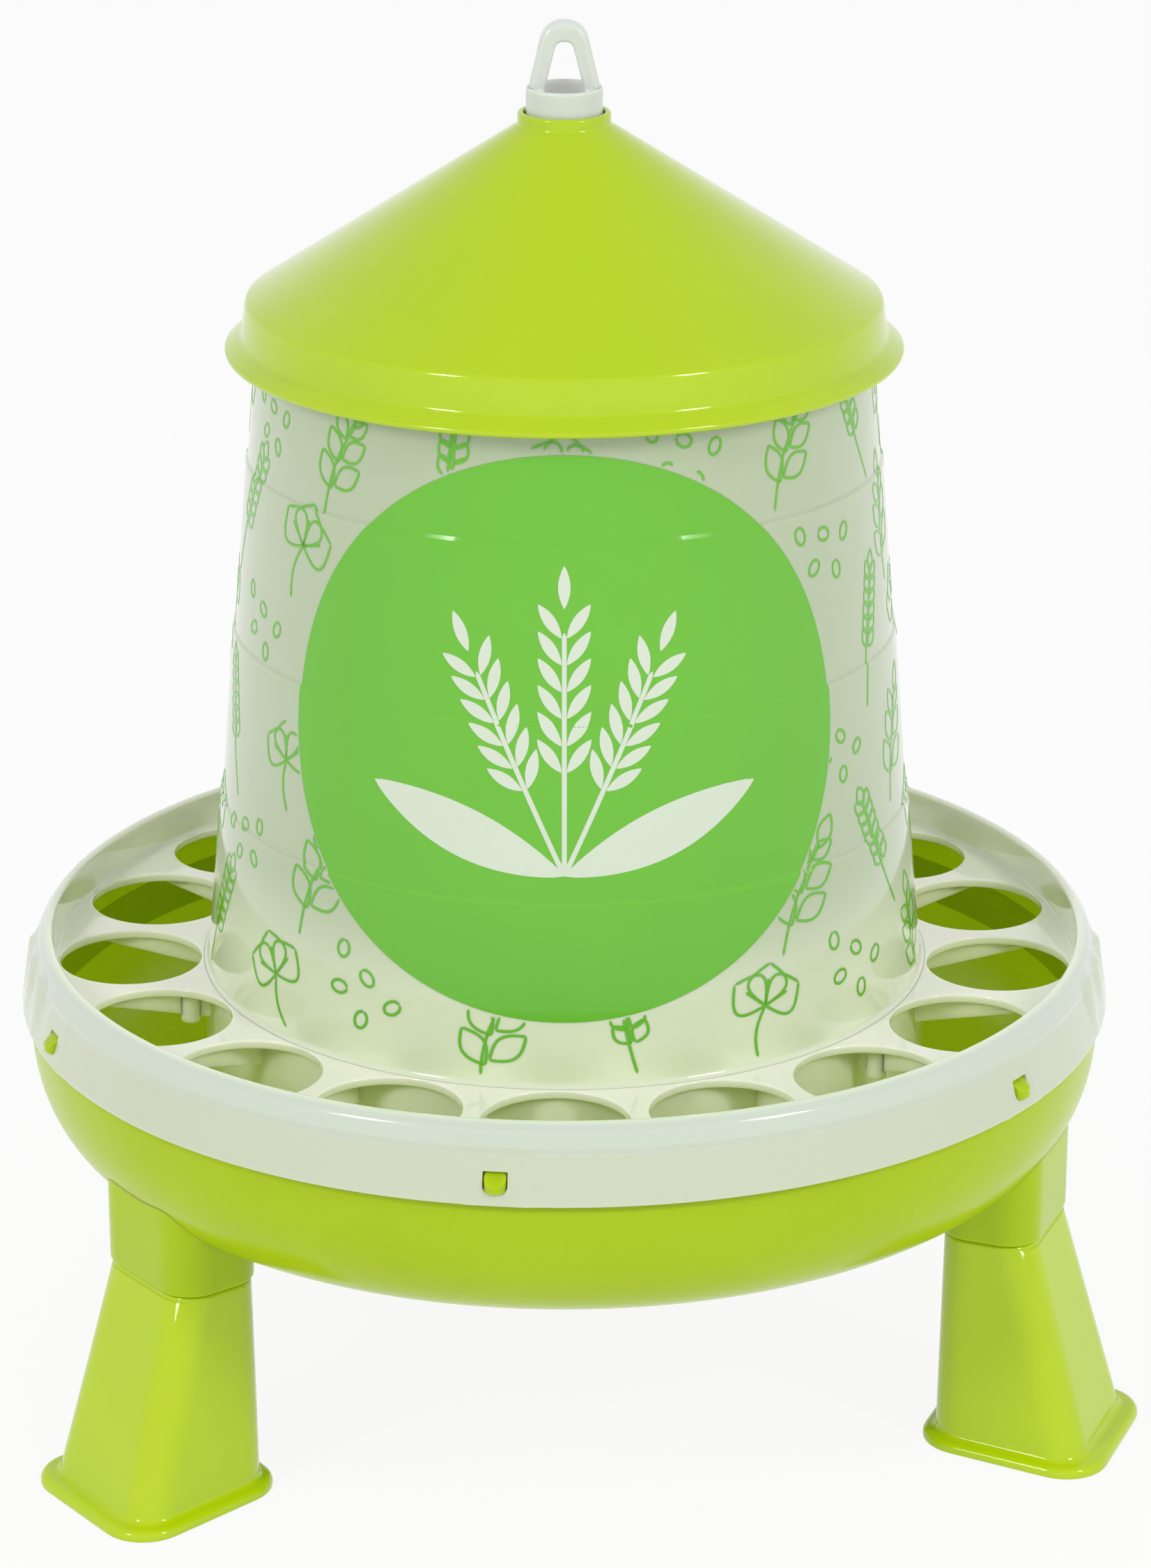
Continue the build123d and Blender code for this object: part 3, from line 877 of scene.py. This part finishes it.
# %% Shape the sockets and the snap tabs
SOCKET = (145.4, 180.1, 25.6, 25.6, 12.0)
SOCKET_EDGE = 0.95
SUNK = 0.4
LEG_AZIMUTHS = {"leg_left": -52.0, "leg_right": 68.0, "leg_back": 188.0}
TAB_OUT_R = 189.9
TAB_HALF = 3.55
TAB_Z = (145.7, 151.9)
TAB_SLOPE = 0.62
TAB_FLAT = 2.6


def trapezoid(size, grow=0.0, steps=8):
    """Outline of a leg's section: four corner arcs, and two points on every side just off them."""
    r_in, r_out, w_in, w_out, corner = size
    arcs = rounded([
        (r_in - grow, -w_in - grow, corner + grow), (r_out + grow, -w_out - grow, corner + grow),
        (r_out + grow, w_out + grow, corner + grow), (r_in - grow, w_in + grow, corner + grow),
    ], steps=steps, hold=False).reshape(4, steps + 1, 2)
    stop, start = arcs[:, -1:], np.roll(arcs, -1, 0)[:, :1]
    near = np.array([0.04, 0.96])[None, :, None]
    return np.concatenate([arcs, stop + (start - stop) * near], 1).reshape(-1, 2)


def socket():
    """Tube with a rounded low edge, whose top follows the bowl."""
    inward, rise = SOCKET_EDGE * np.array(quarter(4))
    grow = np.r_[0, -inward[::-1], inward - TRAY_WALL, -TRAY_WALL]
    rings = np.stack([trapezoid(SOCKET, by) for by in grow], 1)
    z = SOCKET_Z + np.r_[0, rise[::-1], rise, 0] + np.zeros((len(rings), 1))
    for end in (0, -1):
        z[:, end] = bowl_under(np.hypot(rings[:, end, 0], rings[:, end, 1])) + SUNK
    return np.concatenate([rings, z[..., None]], -1)


def tab():
    """Snap tab: a half-round nose whose upper side slopes down outwards."""
    low, high = TAB_Z
    root = TRAY_RIM_R - TRAY_WALL / 2
    middle = root + 2.0
    turn = np.linspace(-math.pi / 2, math.pi / 2, 17)
    x = np.r_[root, TAB_OUT_R - TAB_HALF + TAB_HALF * np.cos(turn), root]
    y = TAB_HALF * np.r_[-1, np.sin(turn), 1]
    crown = high - np.clip(x - root - TAB_FLAT, 0, None) * TAB_SLOPE
    size = np.array([0, 0.93, 1, 1, 0.9, 0])
    low = low + 0 * crown
    z = np.stack([low, low, low + 0.5, crown - 0.5, crown, high + 0 * crown], 1)
    return np.stack([middle + (x[:, None] - middle) * size, y[:, None] * size, z], -1)


tray_grids = [(turned(tray_outline(), round_angles(360)), True, False)]
tray_grids += around(socket(), LEG_AZIMUTHS.values(), True) + around(tab(), WINDOW_AZIMUTHS)
tray = skin("tray_bowl", tray_grids, tray_plastic)
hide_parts("feed_tray")

# %% [markdown]
# The inside of the bowl gets the brighter plastic, which is painted light:
# every face says which of a piece's materials it uses.

# %% Line the bowl
def paint_bowl_light(piece, material):
    """Gives a second, brighter plastic, painted light, to the bowl's faces that look up or towards the axis.
    """
    piece.data.materials.append(material)
    count = 0
    for face in piece.data.polygons:
        x, y, z = face.center / MM
        r = max(math.hypot(x, y), 0.01)
        inward = -(x * face.normal.x + y * face.normal.y) / r
        above = z > bowl_under(r) + 1.0 and r < TRAY_RIM_R - 0.5
        if above and (face.normal.z > 0.3 or inward > 0.5):
            face.material_index = 1
            count += 1
    print(piece.name, "has", count, "faces inside the bowl")


paint_bowl_light(tray, lit_tray)

# %% [markdown]
# Legs
#
# A leg is a hollow shell that narrows upwards, with a flange to stand on and a spigot that fits the tray's
# socket. Every level is a rounded trapezoid of another size, so the leg is a stack of outlines.

# %% Stack the outlines of a leg
LEG_TOP = (146.4, 179.1, 24.6, 24.6, 11.0)
LEG_LOW = (145.4, 201.4, 24.2, 30.2, 11.0)
FOOT = (141.0, 207.6, 28.2, 35.8, 15.6)
FOOT_T = 3.6
LEG_LOW_Z = FOOT_T - 1.2
LEG_TOP_Z = SOCKET_Z - FIT
SPIGOT_EDGE = 0.8
SHOULDER = 1.6
FILLET = 2.0
FOOT_TOP_EDGE = 2.3
FOOT_LOW_EDGE = 0.5


def between_sections(z):
    """Leg's section at a height, on the straight loft from its low to its top section."""
    share = (z - LEG_LOW_Z) / (LEG_TOP_Z - LEG_LOW_Z)
    return tuple(low + (top - low) * share for low, top in zip(LEG_LOW, LEG_TOP))


def leg_stack():
    """(section, grow, z) of every level, from the spigot's top down the outside and up the inside."""
    arc = list(zip(*quarter(5)))
    spigot = -TRAY_WALL - FIT
    rise = ((1, 0), (0.3, 0.3), (0, 1))
    levels = [(SOCKET, spigot - SPIGOT_EDGE * a, SPIGOT_Z - SPIGOT_EDGE * b) for a, b in rise]
    levels += [(SOCKET, spigot, LEG_TOP_Z + 0.3), (SOCKET, spigot + 0.3, LEG_TOP_Z)]
    levels += [(LEG_TOP, -SHOULDER * a, LEG_TOP_Z - SHOULDER * b) for a, b in arc]
    levels += [(between_sections(z), 0, z) for z in (LEG_TOP_Z - 2, 50.0, 20.0, FOOT_T + 2.6)]
    levels += [(between_sections(FOOT_T + FILLET * a), FILLET * b, FOOT_T + FILLET * a) for a, b in arc]
    levels += [(FOOT, -FOOT_TOP_EDGE * a, FOOT_T - FOOT_TOP_EDGE * b) for a, b in arc]
    levels += [(FOOT, -FOOT_LOW_EDGE * b, FOOT_LOW_EDGE * a) for a, b in arc]
    levels += [(LEG_LOW, 0.4 - TRAY_WALL, 0), (LEG_LOW, -TRAY_WALL, 0.4)]
    top = LEG_TOP_Z - TRAY_WALL
    return levels + [(LEG_TOP, -TRAY_WALL - 1.4, top - 2), (LEG_TOP, -TRAY_WALL - 3.0, top)]


def capped(grid):
    """Closes both ends of a carried section on their middles."""
    ends = [end.mean(1, keepdims=True) + 0 * end for end in (grid[:1], grid[-1:])]
    return np.concatenate([ends[0], grid, ends[1]])


def leg_grid():
    """The stack as a grid, closed at both ends."""
    rings = [np.insert(trapezoid(size, grow), 2, z, axis=1) for size, grow, z in leg_stack()]
    return capped(np.stack(rings))


for node, azimuth in LEG_AZIMUTHS.items():
    piece = skin(node + "_shell", [(placed(leg_grid(), azimuth), False, True)], leg_plastic)
    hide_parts(node)

# %% [markdown]
# Hanger
#
# A tube with an eye like a letter A, and a crosspiece that the lid hides. The eye's bar has one section,
# which is carried between an outer and an inner outline with matching points.

# %% Make the hanging eye
TUBE_R = 12.7
TUBE_WALL = 2.0
TUBE_RIM_Z = 457.9
CUP_FLOOR_Z = 438.0
EYE_HALF = 4.0
BAR_WIDE = 5.6
ARM_HALF = 99.6
FLANGE_T = 3.0
FLANGE_HALF = 6.0
WEB_HALF = 1.5


def mirrored(left_half):
    """Open outline of rounded corners and their mirror images, with no holding points."""
    corners = left_half + [(-x, z, radius) for x, z, radius in reversed(left_half)]
    return rounded(corners, closed=False, steps=12, hold=False)


def eye_grid():
    """A bar's section carried between two outlines: inner + (outer - inner) * across."""
    foot = CUP_FLOOR_Z + 0.05
    outer = mirrored([(-11.5, foot, 0), (-12.1, TUBE_RIM_Z - 1.5, 8.0), (-6.6, EYE_Z, 7.7)])
    inner = mirrored([(-6.7, foot, 0), (-6.6, TUBE_RIM_Z - 1.0, 3.0), (-2.5, EYE_Z - 6.6, 2.7)])
    bar = rounded([
        (0, -EYE_HALF, 1.1), (BAR_WIDE, -EYE_HALF, 1.9), (BAR_WIDE, EYE_HALF, 1.9), (0, EYE_HALF, 1.1),
    ], steps=5)
    path = inner[:, None] + (outer - inner)[:, None] * (bar[:, :1] / BAR_WIDE)
    return capped(np.stack([path[..., 0], bar[:, 1] + 0 * path[..., 0], path[..., 1]], -1)), False, True


def crosspiece(low, high, half, low_edge, high_edge):
    """Plate across the hopper's mouth."""
    outline = rounded([
        (-ARM_HALF, low, low_edge), (ARM_HALF, low, low_edge),
        (ARM_HALF, high, high_edge), (-ARM_HALF, high, high_edge),
    ])
    return upright(plate(outline, half, 0.4)), True, False


foot_z = ARM_Z - 2
bore = TUBE_R - TUBE_WALL
tube_outline = rounded([
    (0, CUP_FLOOR_Z, 0), (bore, CUP_FLOOR_Z, 1.0), (bore, TUBE_RIM_Z, 0.8), (TUBE_R, TUBE_RIM_Z, 0.8),
    (TUBE_R, foot_z, 0.5), (bore, foot_z, 0.5), (bore, CUP_FLOOR_Z - TUBE_WALL, 0.8),
    (0, CUP_FLOOR_Z - TUBE_WALL, 0),
], closed=False)
hanger = skin("hanger_tube_and_eye", [
    (turned(tube_outline, round_angles(128)), True, False),
    eye_grid(),
    crosspiece(ARM_Z - FLANGE_T, ARM_Z, FLANGE_HALF, 0.5, 0.5),
    crosspiece(ARM_Z - ARM_H, foot_z, WEB_HALF, 0.9, 0.3),
], white_plastic)
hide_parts("hanger")

# %% [markdown]
# Print
#
# The hopper is printed in green: a round field in front, and line drawings of leaves and grain all over. A
# stroke is drawn on the unrolled wall as a thin ribbon, which is then rolled onto the wall.

# %% Draw strokes on the unrolled wall
INK = 0.1
SUNK_INK = -0.05
ROLL_R = 115.0
RIBBON_SPACING = 1.6
RIBBON_POINT = 0.15


def rolled(s, z, lift):
    """Unrolled (s, z) onto the wall: angle s / ROLL_R at the wall's radius plus lift."""
    a = s / ROLL_R
    r = wall_radius(z) + lift
    return np.stack([r * np.sin(a), -r * np.cos(a), z], -1)


def ribbon(path, width):
    """Closed ribbon along a path of (s, z) points, narrow at both ends."""
    path = divided(path, RIBBON_SPACING)
    along = np.gradient(path, axis=0)
    along /= np.linalg.norm(along, axis=1)[:, None] + 1e-9
    taper = np.ones((len(path), 1))
    taper[[0, -1]] = RIBBON_POINT
    half = np.stack([-along[:, 1], along[:, 0]], 1) * width / 2 * taper
    sides = np.stack([path - half, path + half, path + half, path - half], 1)
    grid = rolled(sides[..., 0], sides[..., 1], np.array([INK, INK, SUNK_INK, SUNK_INK]))
    return capped(grid), False, True


def moved(path, s, z, turn, size):
    """Path in a drawing's own frame, turned and sized, at a place on the wall."""
    x, y = spun(path[:, 0] * size, path[:, 1] * size, turn)
    return np.stack([s + x, z + y], 1)


def arc_line(x0, y0, x1, y1, bulge, count=13):
    """Curve from one point to another that leaves the straight by bulge * sin(pi t)."""
    t = np.linspace(0, 1, count)
    dx, dy = x1 - x0, y1 - y0
    swell = bulge * np.sin(math.pi * t)
    return np.stack([x0 + dx * t - dy * swell, y0 + dy * t + dx * swell], 1)


def leaf(x, y, degrees, length, fat=0.28):
    """Almond outline from its root: two curves that meet in a point."""
    dx, dy = spun(length, 0, math.radians(degrees))
    return [arc_line(x, y, x + dx, y + dy, bulge) for bulge in (fat, -fat)]


def oval(x, y, degrees, long, wide):
    """Closed oval round a point, drawn as one stroke."""
    t = np.linspace(0, 2 * math.pi, 25)
    u, v = spun(long / 2 * np.cos(t), wide / 2 * np.sin(t), math.radians(degrees))
    return np.stack([x + u, y + v], 1)


print("points in an oval:", len(oval(0, 0, 0, 1, 1)))

# %% [markdown]
# Four small drawings are made of strokes, each in its own frame.

# %% Draw a sprig, an ear, a clover and seeds
def sprig():
    """Curved stem with three pairs of leaves and one at the tip, 36 mm tall."""
    lines = [arc_line(0, -18, 2, 10, 0.08)]
    for y, length in ((-9, 11), (-1, 10), (6, 8)):
        lines += leaf(0.6, y, 48, length) + leaf(-0.2, y - 1.5, 132, length)
    return lines + leaf(2, 9, 82, 9)


def grain_ear():
    """Straight stem with six pairs of seeds and one at the tip, 42 mm tall."""
    lines = [arc_line(0, -20, 0, 16, 0.03)]
    for y in np.linspace(-4, 14, 6):
        lines += leaf(0.5, y, 58, 6.2, 0.3) + leaf(-0.5, y, 122, 6.2, 0.3)
    return lines + leaf(0, 16, 90, 6.5, 0.3)


def clover():
    """Stem with three round leaves, each with a vein."""
    lines = [arc_line(0, -14, 0, 0, 0.12)]
    for degrees in (30, 90, 150):
        lines += leaf(0, 0, degrees, 11, 0.52)
        lines.append(arc_line(0, 0, *spun(7, 0, math.radians(degrees)), 0.0))
    return lines


def seeds():
    """Five loose seeds."""
    places = ((-6, -2, 30), (3, -5, 100), (-1, 5, 160), (8, 3, 60), (-10, 7, 110))
    return [oval(x, y, degrees, 4.4, 3.2) for x, y, degrees in places]


DRAWINGS = (sprig(), grain_ear(), clover(), seeds())
print("strokes in each drawing:", [len(lines) for lines in DRAWINGS])

# %% [markdown]
# The drawings stand in staggered rows, each nudged, turned and sized a little at random, with a fixed seed.
# Strokes stop at the round field, at the panel and under the lid.

# %% Spread the drawings over the wall
FIELD_Z = 269.3
FIELD_R = 93.0
FIELD_WIDE = 1.08
LINE_W = 0.92
FIRST_ROW_Z = 176
ROW_SPACING = 36.0
ROWS = 6
PLACES = 17
DRAWING_SIZE = 1.3
HIDDEN_Z = 376


def outside_field(path):
    """Longest run of a path outside the round field and between the lid and the panel."""
    free = np.hypot(path[:, 0] / FIELD_WIDE, path[:, 1] - FIELD_Z) > FIELD_R + 0.5
    free &= (path[:, 1] > PANEL_Z + 3) & (path[:, 1] < HIDDEN_Z)
    runs = np.flatnonzero(np.diff(np.r_[0, free.astype(int), 0])).reshape(-1, 2)
    if len(runs) == 0:
        return path[:0]
    first, last = max(runs.tolist(), key=lambda run: run[1] - run[0])
    return path[first:last]


rng = np.random.default_rng(5)
drawing_grids = []
drawn = 0
for row in range(ROWS):
    for k in range(PLACES):
        jitter = rng.uniform(-1, 1, 4)
        s = (k + 0.5 * (row % 2) - PLACES / 2) * 2 * math.pi * ROLL_R / PLACES + 3 * jitter[1]
        z = FIRST_ROW_Z + row * ROW_SPACING + 3 * jitter[2]
        if math.hypot(s / FIELD_WIDE, z - FIELD_Z) < FIELD_R - 10:
            continue
        size = DRAWING_SIZE + 0.08 * jitter[0]
        for path in DRAWINGS[(k + 2 * row) % 4]:
            path = outside_field(divided(moved(path, s, z, 0.5 * jitter[3], size), 1.2))
            if len(path) > 3:
                drawing_grids.append(ribbon(path, LINE_W))
        drawn += 1
skin("printed_drawings", drawing_grids, print_ink)
print("drawings on the wall:", drawn)

# %% [markdown]
# The field is a patch of ink in two layers, with more rows at the steps, so that it bends with the wall.

# %% Print the round field
FIELD_ROWS = 121
FIELD_COLUMNS = 61
INK_FIELD = INK * 0.8


def field():
    """Rows of height FIELD_Z + R sin t, each as wide as the circle is there, in two layers."""
    t = np.linspace(-math.pi / 2, math.pi / 2, FIELD_ROWS)
    bends = (-STEP_HALF - 0.1, -STEP_HALF, STEP_HALF, STEP_HALF + 0.1)
    bends = np.array([z + by for z in STEP_Z for by in bends])
    t = np.sort(np.r_[t, np.arcsin((bends - FIELD_Z) / FIELD_R)])[:, None]
    u = np.sin(np.linspace(-math.pi / 2, math.pi / 2, FIELD_COLUMNS))
    s = FIELD_WIDE * FIELD_R * np.cos(t) * np.r_[u, u[::-1]]
    lift = np.repeat([INK_FIELD, SUNK_INK], FIELD_COLUMNS)
    return rolled(s, FIELD_Z + FIELD_R * np.sin(t) + 0 * s, lift), False, True


skin("printed_field", [field()], print_ink)

# %% [markdown]
# Emblem
#
# The field carries a plain emblem in the colour of the wall: three grain ears above two leaves. Its patches
# are a little thicker than the field, so that they lie on top.

# %% Draw the emblem
INK_EMBLEM = INK * 1.6
STEM_LIFT = 0.06
ROOT_Z = FIELD_Z - 44
EARS = ((-24, 78), (0, 86), (24, 78))
SEED_L = 13.5
SEED_TILT = 36
LEAF_L = 70
LEAF_TILT = 68


def filled_leaf(s, z, degrees, length, fat):
    """Leaf as a closed two-layer patch: width fat * length * sin(pi t)^0.8 along a straight rib."""
    t = np.linspace(0, 1, 25)[:, None]
    side = np.r_[-1:1:5j, 1:-1:5j]
    half = fat * length * np.sin(math.pi * t) ** 0.8
    x, y = spun(t * length + 0 * side, half * side, math.radians(degrees))
    return rolled(s + x, z + y, np.repeat([INK_EMBLEM, 0.02], 5)), False, True


def stem(s, z):
    """Thin ribbon from the emblem's root to a point, lifted to lie on the field."""
    grid, _, _ = ribbon(arc_line(0, ROOT_Z, s, z, 0), 1.6)
    return with_radius(grid, polar(grid)[0] + STEM_LIFT), False, True


def emblem():
    """Three ears fanned out, with seeds in pairs along each, and two long leaves below."""
    grids = []
    for lean, tall in EARS:
        degrees = 90 - lean
        c, n = spun(1, 0, math.radians(degrees))
        grids.append(stem(tall * 0.93 * c, ROOT_Z + tall * 0.93 * n))
        for share in np.linspace(0.40, 0.91, 6):
            for side in (-1, 1):
                s, z = tall * share * c - 0.9 * side * n, ROOT_Z + tall * share * n + 0.9 * side * c
                grids.append(filled_leaf(s, z, degrees + side * SEED_TILT, SEED_L, 0.15))
        grids.append(filled_leaf(tall * 1.02 * c, ROOT_Z + tall * 1.02 * n, degrees, 14, 0.15))
    return grids + [filled_leaf(0, ROOT_Z, 90 - side * LEAF_TILT, LEAF_L, 0.12) for side in (-1, 1)]


emblem_ink = plastic("emblem_ink", (0.72, 0.80, 0.66), (0.68, 0.76, 0.61), 0.25, wave=0.0, coat=0.6)
skin("printed_emblem", emblem(), emblem_ink)

# %% [markdown]
# Stage
#
# The floor looks white and still takes the feeder's soft shadow: nine tenths of what camera and gloss see is
# an even glow, and one tenth is lit paint. Other rays see plain paint, so the glow doesn't light the feeder.

# %% Lay the floor
FLOOR_SIZE = 12.0
FLOOR_Z = -0.0005
GLOW_SHARE = 0.9


def stage_material():
    """Pale matt paint, mixed with glow for camera, glossy and transmission rays."""
    material = bpy.data.materials.new("stage_paint")
    material.use_nodes = True
    tree = material.node_tree
    paint = tree.nodes["Principled BSDF"]
    feed(paint, {"Base Color": (0.9, 0.9, 0.9, 1), "Roughness": 0.9, "Specular IOR Level": 0.0})
    seen = add_node(tree, "LightPath", "Is Camera Ray")
    for name in ("Is Glossy Ray", "Is Transmission Ray"):
        ray = add_node(tree, "LightPath", name)
        seen = add_node(tree, "Math", "Value", {0: seen, 1: ray}, operation="MAXIMUM")
    share = add_node(tree, "Math", "Value", {0: seen, 1: GLOW_SHARE}, operation="MULTIPLY")
    glow = add_node(tree, "Emission", "Emission")
    both = add_node(tree, "MixShader", "Shader", {"Fac": share, 1: paint.outputs["BSDF"], 2: glow})
    feed(tree.nodes["Material Output"], {"Surface": both})
    return material


half = FLOOR_SIZE / 2
corners = [(x * half, y * half, FLOOR_Z) for x, y in ((-1, -1), (1, -1), (1, 1), (-1, 1))]
floor_mesh = bpy.data.meshes.new("floor")
floor_mesh.from_pydata(corners, [], [(0, 1, 2, 3)])
floor_mesh.materials.append(stage_material())
floor = add_object("floor", floor_mesh)
print("floor", FLOOR_SIZE, "m wide")

# %% [markdown]
# Light
#
# Two soft boxes in front draw thin bright lines on every rounded edge, and a white tent gives the rest of
# the light. Gloss sees the tent fade overhead, which keeps the colour in faces that look up.

# %% Light the scene
BOX_FAR = 2.2
BOX_ELEVATION = 31
BOX_TALL = 0.6
RADIANCE = 17.0
LEVEL = 0.66
OVERHEAD = 0.45
HORIZON = 0.2


def soft_box(name, azimuth, width):
    """Rectangular lamp that faces the feeder, with the power that gives it a radiance."""
    data = bpy.data.lights.new(name, "AREA")
    data.shape = "RECTANGLE"
    data.size, data.size_y = width, BOX_TALL
    data.energy = RADIANCE * math.pi * width * BOX_TALL
    lamp = add_object(name, data)
    a, e = math.radians(azimuth), math.radians(BOX_ELEVATION)
    middle = Vector((0, 0, 0.24))
    out = Vector((math.sin(a) * math.cos(e), -math.cos(a) * math.cos(e), math.sin(e)))
    lamp.location = middle + BOX_FAR * out
    lamp.rotation_euler = (middle - lamp.location).to_track_quat("-Z", "Y").to_euler()


def tent_world():
    """White to the camera, fading overhead to gloss, and a plain level to every other ray."""
    world = bpy.data.worlds.new("tent")
    world.use_nodes = True
    tree = world.node_tree
    direction = add_node(tree, "TexCoord", "Generated")
    up = add_node(tree, "SeparateXYZ", "Z", {"Vector": direction})
    fade = {"Value": up, "From Min": HORIZON, "To Min": 1.0, "To Max": OVERHEAD}
    cloth = add_node(tree, "MapRange", "Result", fade)
    gloss = mixed(tree, "FLOAT", add_node(tree, "LightPath", "Is Glossy Ray"), LEVEL, cloth)
    seen = mixed(tree, "FLOAT", add_node(tree, "LightPath", "Is Camera Ray"), gloss, 1.0)
    feed(tree.nodes["Background"], {"Color": (1, 1, 1, 1), "Strength": seen})
    return world


soft_box("soft_box_left", -44, 0.34)
soft_box("soft_box_right", 47, 0.36)
bpy.context.scene.world = tent_world()
bpy.context.scene.view_settings.view_transform = "Standard"
print("tent level", LEVEL, "and two soft boxes of radiance", RADIANCE)
